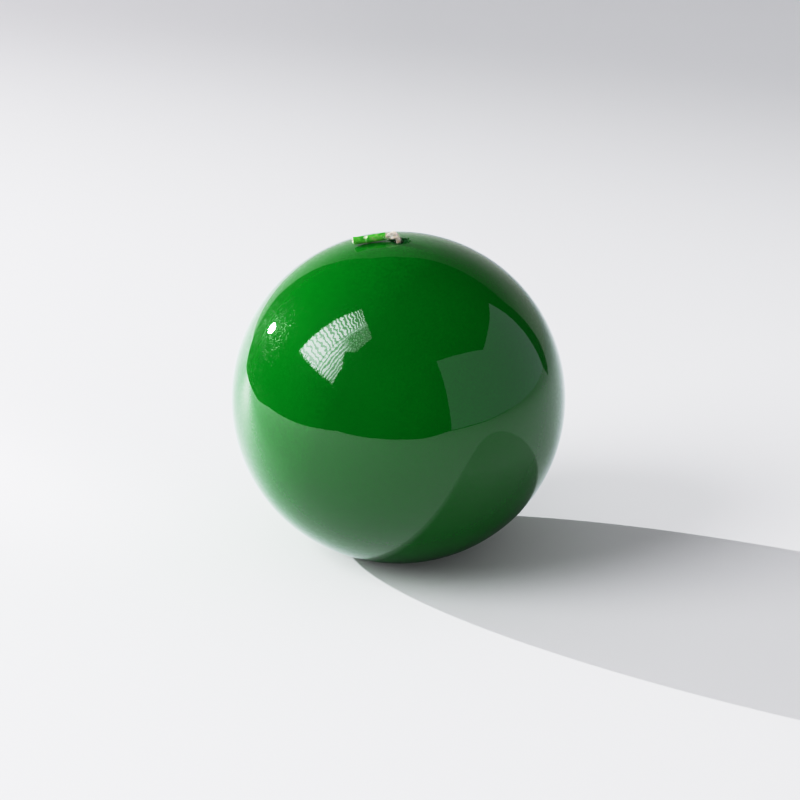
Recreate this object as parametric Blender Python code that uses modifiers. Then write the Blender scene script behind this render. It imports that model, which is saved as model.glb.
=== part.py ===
"""Ball candle with a folded, wax-coated wick.

A pressed wax core inside a dipped colour coat, a plaited cotton wick held by
a steel sustainer in the base, and a wick end that swings about the vertical
and unfolds from lying flat to standing upright.

Metres, +Z up. The origin is the centre of the flat base. At rest the wick is
folded towards -X.
"""

import math

import bpy
from mathutils import Vector

MM = 0.001

# Ball: the outer radius, and the height of its centre above the levelled base.
BALL_RADIUS = 40.0 * MM
CENTRE_HEIGHT = 0.94 * BALL_RADIUS
POLE_HEIGHT = CENTRE_HEIGHT + BALL_RADIUS
# The lower half sagged a little while warm: the radius falls short from where
# the wall's direction is SLUMP_START down to where it is SLUMP_FULL down, by
# SLUMP_SHARE in all. The levelled base meets the wall with a soft edge.
SLUMP_SHARE = 0.010
SLUMP_START = 0.40
SLUMP_FULL = 0.90
BASE_BLEND = 0.5 * MM
COAT_THICKNESS = 0.7 * MM
FIT_GAP = 0.3 * MM

# Hole for the wick, from its mouth in the coat down to the core's channel.
MOUTH_RADIUS = 1.80 * MM
COAT_HOLE_RADIUS = 1.35 * MM
CHANNEL_RADIUS = 1.15 * MM

# Wick sustainer: a pressed disc with a neck crimped onto the wick.
DISC_RADIUS = 5.00 * MM
DISC_THICKNESS = 0.30 * MM
NECK_RADIUS = 1.50 * MM
NECK_WALL = 0.35 * MM
NECK_HEIGHT = 5.5 * MM
NECK_FLARE = 0.50 * MM
CRIMP_DEPTH = 0.30 * MM
RECESS_DEPTH = 1.4 * MM
SUSTAINER_FOOT = RECESS_DEPTH - FIT_GAP - DISC_THICKNESS

# Wick: a flat plait of three cotton strands. The strands weave SWAY to each
# side across the plait and CROSS through its thickness, once per PITCH.
STRAND_RADIUS = 0.22 * MM
SWAY = 0.50 * MM
CROSS = 0.30 * MM
PITCH = 7.5 * MM
POINTS_PER_PITCH = 12
WICK_FOOT = SUSTAINER_FOOT
STRANDS = "abc"

# Fold: the wick leaves the ball upright, bends over and lies down the slope.
BEND_RADIUS = 1.45 * MM
REST_SLOPE = math.radians(8.6)
FOLD_TURN = math.radians(90) + REST_SLOPE
BEND_START_HEIGHT = POLE_HEIGHT - 0.10 * MM
BEND_LENGTH = BEND_RADIUS * FOLD_TURN
BEND_START = BEND_START_HEIGHT - WICK_FOOT
BEND_END = BEND_START + BEND_LENGTH
WICK_END = BEND_END + 9.15 * MM
# Lengths along the wick at which one moving length stops and the next starts.
BURIED_END = BEND_START - 3.5 * MM
ROOT_START = BURIED_END + FIT_GAP
ROOT_END = BEND_START + 0.15 * MM
KNUCKLE_HALF = 0.55 * MM
TIP_START = BEND_END - 0.15 * MM

# Wax sleeve left on the folded end of the wick.
SLEEVE_START = BEND_END + 1.25 * MM
SLEEVE_RADIUS = 0.90 * MM
SLEEVE_BORE = 0.76 * MM

BASE_EDGE_STEPS = 5
COAT_STEPS = 56
COAT_OUTER_ROWS = 26
WALL_ROWS = 20
CORE_STEPS = 40
SUSTAINER_STEPS = 32
SLEEVE_STEPS = 20

GREEN = (0.006, 0.200, 0.012, 1.0)
WAX_GREEN = (0.070, 0.380, 0.040, 1.0)
WAX_WHITE = (0.860, 0.840, 0.770, 1.0)
COTTON = (0.800, 0.740, 0.620, 1.0)
STEEL = (0.620, 0.620, 0.600, 1.0)


def clear_scene():
    for obj in list(bpy.data.objects):
        bpy.data.objects.remove(obj, do_unlink=True)


def collection_named(name):
    collection = bpy.data.collections.new(name)
    bpy.context.scene.collection.children.link(collection)
    return collection


def principled(name, colour, roughness, metallic=0.0, coat=0.0):
    material = bpy.data.materials.new(name)
    material.use_nodes = True
    shader = material.node_tree.nodes["Principled BSDF"]
    shader.inputs["Base Color"].default_value = colour
    shader.inputs["Roughness"].default_value = roughness
    shader.inputs["Metallic"].default_value = metallic
    shader.inputs["Coat Weight"].default_value = coat
    material.diffuse_color = colour
    return material


def smooth_max(a, b, width):
    """The larger of a and b, rounded where they are nearer than width."""
    near = max(width - abs(a - b), 0.0)
    return max(a, b) + near * near / (4.0 * width)


def ball_point(angle, inset):
    """Radius and height of the ball's wall at an angle from the top, inset from its outside."""
    down = (-math.cos(angle) - SLUMP_START) / (SLUMP_FULL - SLUMP_START)
    down = min(max(down, 0.0), 1.0)
    radius = BALL_RADIUS * (1.0 - SLUMP_SHARE * down * down) - inset
    return radius * math.sin(angle), CENTRE_HEIGHT + radius * math.cos(angle)


def angle_where(test, low, high):
    """The angle between low and high at which test turns from true to false."""
    for _ in range(50):
        middle = 0.5 * (low + high)
        if test(middle):
            low = middle
        else:
            high = middle
    return low


def angle_at_height(height, inset):
    """The angle from the top at which the lower wall passes a height."""
    return angle_where(
        lambda angle: ball_point(angle, inset)[1] > height, math.pi / 2, math.pi
    )


def wall_points(inset, top_radius, end, count):
    """Points down a wall of the ball, from a top opening to an end angle."""
    start = math.asin(top_radius / (BALL_RADIUS - inset))
    steps = [start + (end - start) * i / count for i in range(count + 1)]
    return [ball_point(angle, inset) for angle in steps]


def base_edge_points():
    """Points of the soft edge between the outer wall and the levelled base."""
    start = angle_at_height(BASE_BLEND, 0.0)
    end = angle_at_height(-BASE_BLEND, 0.0)
    points = []
    for i in range(1, BASE_EDGE_STEPS + 1):
        angle = start + (end - start) * i / BASE_EDGE_STEPS
        radius, height = ball_point(angle, 0.0)
        points.append((radius, smooth_max(height, 0.0, BASE_BLEND)))
    return points


def mesh_from_profile(name, profile, steps):
    """A closed profile of (radius, height) turned about Z into a solid mesh."""
    outline = bpy.data.meshes.new(name)
    points = [(radius, 0.0, height) for radius, height in profile]
    edges = [(i, (i + 1) % len(points)) for i in range(len(points))]
    outline.from_pydata(points, edges, [])
    guide = bpy.data.objects.new(name + "_profile", outline)
    bpy.context.scene.collection.objects.link(guide)
    screw = guide.modifiers.new("Turn", "SCREW")
    screw.axis = "Z"
    screw.angle = math.tau
    screw.steps = steps
    screw.render_steps = steps
    screw.use_merge_vertices = True
    screw.merge_threshold = 0.000001
    graph = bpy.context.evaluated_depsgraph_get()
    mesh = bpy.data.meshes.new_from_object(guide.evaluated_get(graph))
    bpy.data.objects.remove(guide, do_unlink=True)
    mesh.name = name
    mesh.shade_smooth()
    mesh.set_sharp_from_angle(angle=math.radians(35))
    return mesh


def add_solid(name, mesh, material, collection, parent=None):
    mesh.materials.clear()
    mesh.materials.append(material)
    obj = bpy.data.objects.new(name, mesh)
    obj.parent = parent
    collection.objects.link(obj)
    return obj


def build_wax_core(collection, material):
    inset = COAT_THICKNESS + FIT_GAP
    recess_radius = DISC_RADIUS + FIT_GAP
    neck_room = NECK_RADIUS + FIT_GAP
    neck_top = SUSTAINER_FOOT + DISC_THICKNESS + NECK_HEIGHT + FIT_GAP
    profile = wall_points(inset, CHANNEL_RADIUS, angle_at_height(0.0, inset), WALL_ROWS)
    profile += [
        (recess_radius, 0.0),
        (recess_radius, RECESS_DEPTH),
        (neck_room + NECK_FLARE, RECESS_DEPTH),
        (neck_room, RECESS_DEPTH + NECK_FLARE),
        (neck_room, neck_top),
        (CHANNEL_RADIUS, neck_top + NECK_FLARE),
    ]
    mesh = mesh_from_profile("wax_core", profile, CORE_STEPS)
    add_solid("wax_core", mesh, material, collection)


def build_colour_coat(collection, material):
    outer_foot = angle_at_height(BASE_BLEND, 0.0)
    outside = wall_points(0.0, MOUTH_RADIUS, outer_foot, COAT_OUTER_ROWS)
    outside += base_edge_points()
    inner_foot = angle_at_height(0.0, COAT_THICKNESS)
    inside = wall_points(COAT_THICKNESS, COAT_HOLE_RADIUS, inner_foot, WALL_ROWS)
    mesh = mesh_from_profile("colour_coat", outside + inside[::-1], COAT_STEPS)
    add_solid("colour_coat", mesh, material, collection)


def build_sustainer(collection, material):
    foot = SUSTAINER_FOOT
    shoulder = foot + DISC_THICKNESS
    top = shoulder + NECK_HEIGHT
    bore = NECK_RADIUS - NECK_WALL
    crimp = 0.5 * (shoulder + top)
    profile = [
        (NECK_RADIUS, top),
        (NECK_RADIUS, crimp + 2 * CRIMP_DEPTH),
        (NECK_RADIUS - CRIMP_DEPTH, crimp),
        (NECK_RADIUS, crimp - 2 * CRIMP_DEPTH),
        (NECK_RADIUS, shoulder + NECK_FLARE),
        (NECK_RADIUS + NECK_FLARE, shoulder),
        (DISC_RADIUS, shoulder),
        (DISC_RADIUS, foot),
        (bore + NECK_FLARE, foot),
        (bore, foot + NECK_FLARE),
        (bore, crimp - 2 * CRIMP_DEPTH),
        (bore - CRIMP_DEPTH, crimp),
        (bore, crimp + 2 * CRIMP_DEPTH),
        (bore, top),
    ]
    mesh = mesh_from_profile("wick_sustainer", profile, SUSTAINER_STEPS)
    add_solid("wick_sustainer", mesh, material, collection)


def wick_frame(along):
    """Place on the wick's centre line, its heading and its upper side."""
    bent = min(max(along - BEND_START, 0.0), BEND_LENGTH)
    turn = bent / BEND_RADIUS
    before = min(along, BEND_START)
    after = max(along - BEND_END, 0.0)
    heading = Vector((-math.sin(turn), 0.0, math.cos(turn)))
    upper = Vector((math.cos(turn), 0.0, math.sin(turn)))
    place = Vector((0.0, 0.0, WICK_FOOT + before))
    place.x -= BEND_RADIUS * (1.0 - math.cos(turn))
    place.z += BEND_RADIUS * math.sin(turn)
    return place + heading * after, heading, upper


def strand_point(along, index):
    """A point on one strand of the plait, at a length along the wick."""
    phase = math.tau * (along / PITCH + index / len(STRANDS))
    place, _, upper = wick_frame(along)
    across = Vector((0.0, 1.0, 0.0))
    return place + across * SWAY * math.sin(phase) + upper * CROSS * math.sin(2 * phase)


def add_strands(prefix, start, end, material, collection, pivot=None, origin=Vector()):
    """The three strands of one length of wick, as tubes along the plait's path."""
    count = max(4, round((end - start) / PITCH * POINTS_PER_PITCH))
    for index, letter in enumerate(STRANDS):
        name = prefix + "_" + letter
        curve = bpy.data.curves.new(name, "CURVE")
        curve.dimensions = "3D"
        curve.bevel_depth = STRAND_RADIUS
        curve.bevel_resolution = 1
        curve.use_fill_caps = True
        spline = curve.splines.new("POLY")
        spline.points.add(count)
        for i, point in enumerate(spline.points):
            place = strand_point(start + (end - start) * i / count, index) - origin
            point.co = (*place, 1.0)
        curve.materials.append(material)
        strand = bpy.data.objects.new(name, curve)
        strand.parent = pivot
        collection.objects.link(strand)


def fold_pivot(start, turn):
    """The point about which a bend of this turn opens into a straight wick of the same length."""
    near, heading, _ = wick_frame(start)
    far, _, _ = wick_frame(start + BEND_RADIUS * turn)
    straight = near + heading * BEND_RADIUS * turn
    chord = straight - far
    side = Vector((chord.z, 0.0, -chord.x))
    return (straight + far) / 2 + side / (2 * math.tan(turn / 2))


def add_pivot(name, place, collection, parent=None, parent_place=Vector()):
    pivot = bpy.data.objects.new(name, None)
    pivot.empty_display_size = 2 * MM
    pivot.parent = parent
    pivot.location = place - parent_place
    collection.objects.link(pivot)
    return pivot


def build_wax_sleeve(collection, material, pivot, origin):
    """A short wax tube on the wick's end, modelled upright and laid along the wick."""
    length = WICK_END - SLEEVE_START
    edge = 0.12 * MM
    profile = [
        (SLEEVE_BORE, length),
        (SLEEVE_RADIUS - edge, length),
        (SLEEVE_RADIUS, length - edge),
        (SLEEVE_RADIUS, edge),
        (SLEEVE_RADIUS - edge, 0.0),
        (SLEEVE_BORE, 0.0),
    ]
    mesh = mesh_from_profile("wick_wax_sleeve", profile, SLEEVE_STEPS)
    place, heading, _ = wick_frame(SLEEVE_START)
    sleeve = add_solid("wick_wax_sleeve", mesh, material, collection, pivot)
    sleeve.location = place - origin
    sleeve.rotation_euler = heading.to_track_quat("Z", "Y").to_euler()


def build_wick(collection, cotton, wax):
    """The buried wick, then three lengths that follow the swing and the two halves of the fold."""
    swing_place = Vector((0.0, 0.0, POLE_HEIGHT))
    half = FOLD_TURN / 2
    lower_place = fold_pivot(BEND_START, half)
    upper_place = fold_pivot(BEND_START + BEND_LENGTH / 2, half)
    swing = add_pivot("wick_swing_axis", swing_place, collection)
    lower = add_pivot("wick_fold_axis", lower_place, collection, swing, swing_place)
    upper = add_pivot("wick_fold_upper_axis", upper_place, collection, lower, lower_place)
    middle = BEND_START + BEND_LENGTH / 2
    add_strands("wick_strand", 0.0, BURIED_END, cotton, collection)
    add_strands("wick_root_strand", ROOT_START, ROOT_END, cotton, collection, swing, swing_place)
    add_strands("wick_bend_strand", middle - KNUCKLE_HALF, middle + KNUCKLE_HALF,
                cotton, collection, lower, lower_place)
    add_strands("wick_tip_strand", TIP_START, WICK_END, cotton, collection, upper, upper_place)
    build_wax_sleeve(collection, wax, upper, upper_place)


def main():
    clear_scene()
    candle = collection_named("ball_candle")
    build_wax_core(candle, principled("core_wax", WAX_WHITE, 0.55))
    build_colour_coat(candle, principled("green_lacquer", GREEN, 0.05, coat=1.0))
    build_sustainer(candle, principled("tinned_steel", STEEL, 0.30, metallic=1.0))
    build_wick(candle, principled("cotton", COTTON, 0.90), principled("wick_wax", WAX_GREEN, 0.35))


main()
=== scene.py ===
"""Looks of the ball candle: lacquered green ball, folded wick, levelled base and a small studio."""

import math

import bmesh
import bpy
import numpy as np
from mathutils import Euler, Matrix, Vector, noise


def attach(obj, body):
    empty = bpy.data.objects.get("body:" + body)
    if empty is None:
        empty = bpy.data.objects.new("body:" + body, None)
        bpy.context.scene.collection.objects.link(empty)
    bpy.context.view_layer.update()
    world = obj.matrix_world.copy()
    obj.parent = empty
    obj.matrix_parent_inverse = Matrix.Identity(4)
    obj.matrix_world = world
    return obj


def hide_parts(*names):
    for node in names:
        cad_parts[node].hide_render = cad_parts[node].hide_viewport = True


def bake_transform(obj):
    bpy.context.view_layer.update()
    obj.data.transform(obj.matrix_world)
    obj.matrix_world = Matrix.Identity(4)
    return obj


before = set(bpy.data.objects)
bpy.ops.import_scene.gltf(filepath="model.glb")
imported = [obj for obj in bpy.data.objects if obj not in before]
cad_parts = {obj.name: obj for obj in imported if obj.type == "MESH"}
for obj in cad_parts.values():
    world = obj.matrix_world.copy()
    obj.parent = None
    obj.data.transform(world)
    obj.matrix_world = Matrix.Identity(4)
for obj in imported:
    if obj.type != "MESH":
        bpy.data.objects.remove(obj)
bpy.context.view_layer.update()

MM = 0.001
BALL_RADIUS = 40.0 * MM
CENTRE_HEIGHT = 0.94 * BALL_RADIUS
CENTRE = Vector((0.0, 0.0, CENTRE_HEIGHT))
POLE_HEIGHT = CENTRE_HEIGHT + BALL_RADIUS

SLUMP_SHARE = 0.010
SLUMP_START = 0.40
SLUMP_FULL = 0.90
BASE_BLEND = 0.5 * MM
COAT_THICKNESS = 0.7 * MM
MOUTH_RADIUS = 1.80 * MM
COAT_HOLE_RADIUS = 1.35 * MM
CHANNEL_RADIUS = 1.15 * MM
FIT_GAP = 0.3 * MM
DISC_RADIUS = 5.0 * MM
DISC_THICKNESS = 0.3 * MM
NECK_RADIUS = 1.5 * MM
NECK_WALL = 0.35 * MM
NECK_HEIGHT = 5.5 * MM
NECK_FLARE = 0.5 * MM
CRIMP_DEPTH = 0.3 * MM
RECESS_DEPTH = 1.4 * MM
SUSTAINER_FOOT = RECESS_DEPTH - FIT_GAP - DISC_THICKNESS
SHOULDER_HEIGHT = SUSTAINER_FOOT + DISC_THICKNESS
NECK_TOP = SHOULDER_HEIGHT + NECK_HEIGHT


# ---------------------------------------------------------------- node tools
def new_material(name):
    material = bpy.data.materials.new(name)
    material.use_nodes = True
    tree = material.node_tree
    tree.nodes.clear()
    output = tree.nodes.new("ShaderNodeOutputMaterial")
    return material, tree, output


def node(tree, kind, inputs=None, **settings):
    made = tree.nodes.new(kind)
    for key, value in settings.items():
        setattr(made, key, value)
    for key, value in (inputs or {}).items():
        socket = made.inputs[key]
        if isinstance(value, bpy.types.NodeSocket):
            tree.links.new(value, socket)
        else:
            socket.default_value = value
    return made


def ramp(tree, factor, stops, interpolation="LINEAR"):
    made = node(tree, "ShaderNodeValToRGB", {"Fac": factor})
    made.color_ramp.interpolation = interpolation
    elements = made.color_ramp.elements
    while len(elements) < len(stops):
        elements.new(0.5)
    for element, (place, colour) in zip(elements, stops):
        element.position = place
        element.color = colour
    return made.outputs["Color"]


def maths(tree, operation, *values, clamp=False):
    """The result socket of one arithmetic node."""
    made = node(tree, "ShaderNodeMath", dict(enumerate(values)), operation=operation, use_clamp=clamp)
    return made.outputs[0]


def ramped(tree, value, low, high):
    """Goes from 0 to 1 as a value goes from low to high."""
    return node(tree, "ShaderNodeMapRange", {"Value": value, 1: low, 2: high}).outputs["Result"]


def grey(value):
    return (value, value, value, 1.0)


# ---------------------------------------------------------------- mesh tools
def add_object(name, mesh, material):
    mesh.materials.append(material)
    obj = bpy.data.objects.new(name, mesh)
    bpy.context.scene.collection.objects.link(obj)
    return obj


def lathe(name, profile, steps, closed=True):
    """Quads from a (radius, height) profile turned about Z. It runs down the outer side, top to bottom."""
    count = len(profile)
    turn = np.linspace(0.0, math.tau, steps, endpoint=False)
    radius, height = np.array(profile).T
    points = np.empty((steps, count, 3))
    points[:, :, 0] = np.cos(turn)[:, None] * radius
    points[:, :, 1] = np.sin(turn)[:, None] * radius
    points[:, :, 2] = height
    faces = []
    for i in range(steps):
        near, far = i * count, (i + 1) % steps * count
        for j in range(count if closed else count - 1):
            k = (j + 1) % count
            faces.append((near + j, near + k, far + k, far + j))
    mesh = bpy.data.meshes.new(name)
    mesh.from_pydata(points.reshape(-1, 3).tolist(), [], faces)
    mesh.update()
    return mesh


def smooth(mesh, angle=35):
    mesh.shade_smooth()
    mesh.set_sharp_from_angle(angle=math.radians(angle))


# ---------------------------------------------------------------- ball shape
def smooth_max(a, b, width):
    near = max(width - abs(a - b), 0.0)
    return max(a, b) + near * near / (4.0 * width)


def ball_point(angle, inset):
    down = (-math.cos(angle) - SLUMP_START) / (SLUMP_FULL - SLUMP_START)
    down = min(max(down, 0.0), 1.0)
    radius = BALL_RADIUS * (1.0 - SLUMP_SHARE * down * down) - inset
    return radius * math.sin(angle), CENTRE_HEIGHT + radius * math.cos(angle)


def angle_at_height(height, inset):
    low, high = math.pi / 2, math.pi
    for _ in range(50):
        middle = 0.5 * (low + high)
        if ball_point(middle, inset)[1] > height:
            low = middle
        else:
            high = middle
    return low


def wall_points(inset, start, end, count):
    steps = [start + (end - start) * i / count for i in range(count + 1)]
    return [ball_point(angle, inset) for angle in steps]


def coat_profile():
    start = math.asin(MOUTH_RADIUS / BALL_RADIUS)
    edge = angle_at_height(2 * BASE_BLEND, 0.0)
    profile = wall_points(0.0, start, edge, 150)
    flat = angle_at_height(-BASE_BLEND, 0.0)
    for radius, height in wall_points(0.0, edge, flat, 16)[1:]:
        profile.append((radius, smooth_max(height, 0.0, BASE_BLEND)))
    inner = wall_points(
        COAT_THICKNESS,
        math.asin(COAT_HOLE_RADIUS / (BALL_RADIUS - COAT_THICKNESS)),
        angle_at_height(0.0, COAT_THICKNESS),
        60,
    )
    return profile + inner[::-1]


# ---------------------------------------------------------------- materials
FLAKES_PER_METRE = 5200.0
FLAKE_TILT = 0.30


def raw_and_shaded_mouth(tree, coords):
    """How raw (0 to 1) the broken wax is: only round the wick's mouth, where the varnish is gone. Its darker
    green there is painted shade in the crater round the wick.
    """
    flat = node(tree, "ShaderNodeVectorMath", {0: coords, 1: (1.0, 1.0, 0.0)}, operation="MULTIPLY")
    reach = node(tree, "ShaderNodeVectorMath", {0: flat.outputs["Vector"]}, operation="LENGTH")
    torn = node(tree, "ShaderNodeTexNoise", {"Vector": coords, "Scale": 900.0, "Detail": 3.0})
    edge = maths(tree, "MULTIPLY_ADD", torn.outputs["Fac"], 2.0 * MM, reach.outputs["Value"])
    worn = node(tree, "ShaderNodeMapRange", {"Value": edge, 1: 3.5 * MM, 2: 3.2 * MM}).outputs["Result"]
    height = node(tree, "ShaderNodeSeparateXYZ", {"Vector": coords}).outputs["Z"]
    return maths(tree, "MULTIPLY", worn, maths(tree, "GREATER_THAN", height, CENTRE_HEIGHT))


def pearl_flakes(tree, coords):
    """The normal of a layer of tiny flakes, each lying at its own slight tilt."""
    flakes = node(tree, "ShaderNodeTexVoronoi", {"Vector": coords, "Scale": FLAKES_PER_METRE})
    random = node(tree, "ShaderNodeVectorMath", {
        0: flakes.outputs["Color"], 1: (0.5, 0.5, 0.5)}, operation="SUBTRACT")
    tilt = node(tree, "ShaderNodeVectorMath", {
        0: random.outputs["Vector"], "Scale": FLAKE_TILT}, operation="SCALE")
    surface = node(tree, "ShaderNodeNewGeometry").outputs["Normal"]
    tilted = node(tree, "ShaderNodeVectorMath", {0: surface, 1: tilt.outputs["Vector"]}, operation="ADD")
    unit = node(tree, "ShaderNodeVectorMath", {0: tilted.outputs["Vector"]}, operation="NORMALIZE")
    return unit.outputs["Vector"]


def green_lacquer():
    """Gloss varnish over green paint: a clear coat on a pigment layer with a fine pearly grain."""
    material, tree, output = new_material("green_lacquer")
    coords = node(tree, "ShaderNodeTexCoord").outputs["Object"]
    cloudy = node(tree, "ShaderNodeTexNoise", {"Vector": coords, "Scale": 60.0, "Detail": 3.0})
    colour = ramp(tree, cloudy.outputs["Fac"], [
        (0.3, (0.0004, 0.132, 0.0062, 1.0)),
        (0.7, (0.0006, 0.144, 0.0070, 1.0)),
    ])
    specks = node(tree, "ShaderNodeTexVoronoi", {"Vector": coords, "Scale": 260.0})
    pinhole = ramp(tree, specks.outputs["Distance"], [(0.03, grey(1.0)), (0.05, grey(0.0))])
    rare = maths(tree, "GREATER_THAN", specks.outputs["Color"], 0.93)
    speck = maths(tree, "MULTIPLY", pinhole, rare)
    tinted = node(tree, "ShaderNodeMix", {
        0: speck, 6: colour, 7: (0.10, 0.30, 0.12, 1.0)}, data_type="RGBA")
    raw = raw_and_shaded_mouth(tree, coords)
    # Round the mouth the broken wax is painted darker green: painted shade in the crater round the wick.
    painted = node(tree, "ShaderNodeMix", {
        0: raw, 6: tinted.outputs[2], 7: (0.006, 0.075, 0.014, 1.0)}, data_type="RGBA")
    pearl = pearl_flakes(tree, coords)
    flow = node(tree, "ShaderNodeTexNoise", {"Vector": coords, "Scale": 900.0, "Detail": 1.0})
    ripple = node(tree, "ShaderNodeBump", {
        "Height": flow.outputs["Fac"], "Strength": 1.0, "Distance": 0.0016 * MM})
    shader = node(tree, "ShaderNodeBsdfPrincipled", {
        "Base Color": painted.outputs[2],
        "Roughness": node(tree, "ShaderNodeMapRange", {"Value": raw, 3: 0.20, 4: 0.6}).outputs["Result"],
        "Specular IOR Level": 0.012,
        "Normal": pearl,
        "Coat Weight": maths(tree, "SUBTRACT", 1.0, raw),
        "Coat Roughness": 0.012,
        "Coat IOR": 1.56,
        "Coat Normal": ripple.outputs["Normal"],
    })
    tree.links.new(shader.outputs["BSDF"], output.inputs["Surface"])
    return material


def core_wax_material():
    """Pale candle wax pressed from granules, dark green over its top few millimetres round the wick's
    channel.
    """
    material, tree, output = new_material("pale_core_wax")
    coords = node(tree, "ShaderNodeTexCoord").outputs["Object"]
    granules = node(tree, "ShaderNodeTexVoronoi", {"Vector": coords, "Scale": 700.0})
    cloudy = node(tree, "ShaderNodeTexNoise", {"Vector": coords, "Scale": 180.0, "Detail": 4.0})
    colour = ramp(tree, cloudy.outputs["Fac"], [
        (0.32, (0.60, 0.66, 0.50, 1.0)),
        (0.50, (0.80, 0.79, 0.68, 1.0)),
        (0.72, (0.90, 0.88, 0.79, 1.0)),
    ])
    height = node(tree, "ShaderNodeSeparateXYZ", {"Vector": coords}).outputs["Z"]
    # Dark green from 70 to 74 mm up and above, round the top of the wick's channel.
    top_band = node(tree, "ShaderNodeMapRange", {"Value": height, 1: 0.070, 2: 0.074})
    core_colour = node(tree, "ShaderNodeMix", {
        0: top_band.outputs["Result"], 6: colour, 7: (0.004, 0.060, 0.010, 1.0)}, data_type="RGBA")
    bump = node(tree, "ShaderNodeBump", {
        "Height": granules.outputs["Distance"], "Strength": 0.5, "Distance": 0.15 * MM})
    shader = node(tree, "ShaderNodeBsdfPrincipled", {
        "Base Color": core_colour.outputs[2],
        "Roughness": 0.52,
        "Normal": bump.outputs["Normal"],
        "Subsurface Weight": 0.20,
        "Subsurface Radius": (0.0012, 0.0011, 0.0008),
    })
    tree.links.new(shader.outputs["BSDF"], output.inputs["Surface"])
    return material


def tinplate_material():
    """Thin pressed tinplate with turning marks, dull patches and a little wax film."""
    material, tree, output = new_material("pressed_tinplate")
    coords = node(tree, "ShaderNodeTexCoord").outputs["Object"]
    rings = node(tree, "ShaderNodeTexWave", {
        "Vector": coords, "Scale": 1400.0, "Distortion": 1.5, "Detail": 2.0},
        wave_type="RINGS", rings_direction="Z")
    patches = node(tree, "ShaderNodeTexNoise", {"Vector": coords, "Scale": 600.0, "Detail": 4.0})
    colour = ramp(tree, patches.outputs["Fac"], [
        (0.35, (0.42, 0.42, 0.41, 1.0)),
        (0.65, (0.66, 0.66, 0.64, 1.0)),
    ])
    rough = node(tree, "ShaderNodeMapRange", {"Value": patches.outputs["Fac"], 3: 0.22, 4: 0.55})
    bump = node(tree, "ShaderNodeBump", {
        "Height": rings.outputs["Fac"], "Strength": 0.25, "Distance": 0.01 * MM})
    shader = node(tree, "ShaderNodeBsdfPrincipled", {
        "Base Color": colour,
        "Metallic": 1.0,
        "Roughness": rough.outputs["Result"],
        "Normal": bump.outputs["Normal"],
    })
    tree.links.new(shader.outputs["BSDF"], output.inputs["Surface"])
    return material


# ---------------------------------------------------------------- pieces
MOUTH_REACH = 4.2 * MM
LIP_HEIGHT = 0.10 * MM
SKIN_WAVE = 0.006 * MM


def worn_skin(point):
    """Moves a point of the coat: a faintly wavy varnish, and a broken lip round the wick's mouth."""
    out = (point - CENTRE).normalized()
    moved = point + out * SKIN_WAVE * noise.noise(point / (4.5 * MM))
    across = Vector((moved.x, moved.y, 0.0))
    if moved.z > POLE_HEIGHT - 2 * MM and across.length < MOUTH_REACH:
        share = (across.length - COAT_HOLE_RADIUS) / (MOUTH_REACH - COAT_HOLE_RADIUS)
        near = (1.0 - min(max(share, 0.0), 1.0)) ** 2
        heading = across.normalized()
        broken = 0.30 * noise.noise(heading * 2.1) + 0.22 * noise.noise(heading * 6.0)
        moved += heading * MM * near * broken
        moved.z += LIP_HEIGHT * near * (0.4 + 2.2 * noise.noise(moved / (0.9 * MM)))
    return moved


def build_coat(material):
    mesh = lathe("coat_shell", coat_profile(), 288)
    for vertex in mesh.vertices:
        if (vertex.co - CENTRE).length > BALL_RADIUS - 0.5 * COAT_THICKNESS - SLUMP_SHARE * BALL_RADIUS:
            if vertex.co.z > 2 * MM:
                vertex.co = worn_skin(vertex.co)
    smooth(mesh)
    coat = add_object("coat_shell", mesh, material)
    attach(coat, "candle")
    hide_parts("colour_coat")


def build_flakes(name, material, count, seed, smallest, largest):
    """Small broken bits of wax lying round the mouth, mostly on the side the wick was pulled from."""
    random = np.random.default_rng(seed)
    made = bmesh.new()
    for _ in range(count):
        heading = random.normal(-0.35, 0.75)
        reach = random.uniform(1.55, 2.9) * MM
        size = random.uniform(smallest, largest) * MM
        tilt = Euler(random.uniform(-0.9, 0.9, 3))
        shape = Matrix.Diagonal((1.0, random.uniform(0.5, 0.9), random.uniform(0.25, 0.6), 1.0))
        place = Vector((reach * math.cos(heading), reach * math.sin(heading), 0.0))
        place.z = CENTRE_HEIGHT + math.sqrt(BALL_RADIUS**2 - reach**2) + 0.12 * size
        placing = Matrix.Translation(place) @ tilt.to_matrix().to_4x4() @ shape
        grown = bmesh.ops.create_icosphere(made, subdivisions=2, radius=size, matrix=placing)
        for vertex in grown["verts"]:
            out = vertex.co - place
            vertex.co += out * 0.7 * noise.noise(vertex.co / (0.6 * size))
    mesh = bpy.data.meshes.new(name)
    made.to_mesh(mesh)
    made.free()
    smooth(mesh, 25)
    flakes = add_object(name, mesh, material)
    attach(flakes, "candle")


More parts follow.
